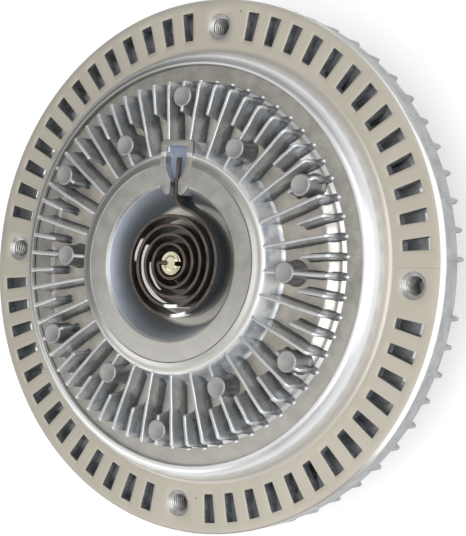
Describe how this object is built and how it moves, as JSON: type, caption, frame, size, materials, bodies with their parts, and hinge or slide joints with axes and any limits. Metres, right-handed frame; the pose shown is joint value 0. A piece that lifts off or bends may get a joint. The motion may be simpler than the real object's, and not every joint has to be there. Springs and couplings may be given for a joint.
{
  "type": "viscous fan clutch",
  "caption": "Viscous fan clutch with a slotted fan-mounting ring, finned front cover, bimetal coil in its cup, rear cooling fins, ball bearing, drive rotor and hex hub.",
  "frame": {"origin": "on the common axis, in the flat end of the hex hub that it stands on", "axes": "+Z along the common axis from the hex hub to the coil, +X through one bolt hole, +Y towards the pocket of the coil's tail"},
  "size_m": [0.19, 0.19, 0.0636],
  "materials": {
    "cast_aluminium": "fine-blasted casting with turned shoulder",
    "turned_aluminium": "turned",
    "machined_steel": "turned and milled",
    "spring_steel": "dark phosphated",
    "bearing_steel": "ground",
    "plate_steel": "stamped",
    "brass": "pale, satin",
    "coil_bimetal": "dark bronze, worn edges",
    "seal_rubber": "matt",
    "wiper_plastic": "moulded"
  },
  "bodies": {
    "input": {"input_shaft": "machined_steel", "drive_rotor": "turned_aluminium", "rotor_lock_ring": "spring_steel", "bearing_inner_race": "bearing_steel"},
    "housing": {"clutch_body": "cast_aluminium", "front_cover": "cast_aluminium", "cover_gasket": "seal_rubber", "separator_plate": "plate_steel", "plate_screw_1": "plate_steel", "plate_screw_2": "plate_steel", "plate_screw_3": "plate_steel", "plate_screw_4": "plate_steel", "wiper_1": "wiper_plastic", "wiper_2": "wiper_plastic", "bearing_outer_race": "bearing_steel", "bearing_seal_front": "seal_rubber", "bearing_seal_rear": "seal_rubber", "bearing_clip": "spring_steel", "thrust_washer": "plate_steel", "bimetal_coil": "coil_bimetal"},
    "bearing_set": {"bearing_cage": "brass", "bearing_ball_1": "bearing_steel", "bearing_ball_2": "bearing_steel", "bearing_ball_3": "bearing_steel", "bearing_ball_4": "bearing_steel", "bearing_ball_5": "bearing_steel", "bearing_ball_6": "bearing_steel", "bearing_ball_7": "bearing_steel", "bearing_ball_8": "bearing_steel"},
    "control": {"control_shaft": "brass", "control_shaft_seal": "seal_rubber", "valve_arm": "plate_steel"}
  },
  "joints": [
    {"name": "housing_spin", "type": "hinge", "parent": "input", "child": "housing", "pos_m": [0, 0, 0.0264], "axis": [0, 0, 1], "continuous": true},
    {"name": "bearing_spin", "type": "hinge", "parent": "input", "child": "bearing_set", "pos_m": [0, 0, 0.0264], "axis": [0, 0, 1], "continuous": true},
    {"name": "control_turn", "type": "hinge", "parent": "housing", "child": "control", "pos_m": [0, 0, 0.05], "axis": [0, 0, 1], "range_deg": [0, 30], "deforming": ["bimetal_coil"]}
  ],
  "couplings": [
    {"joint": "bearing_spin", "follows": "housing_spin", "ratio": 0.6}
  ]
}
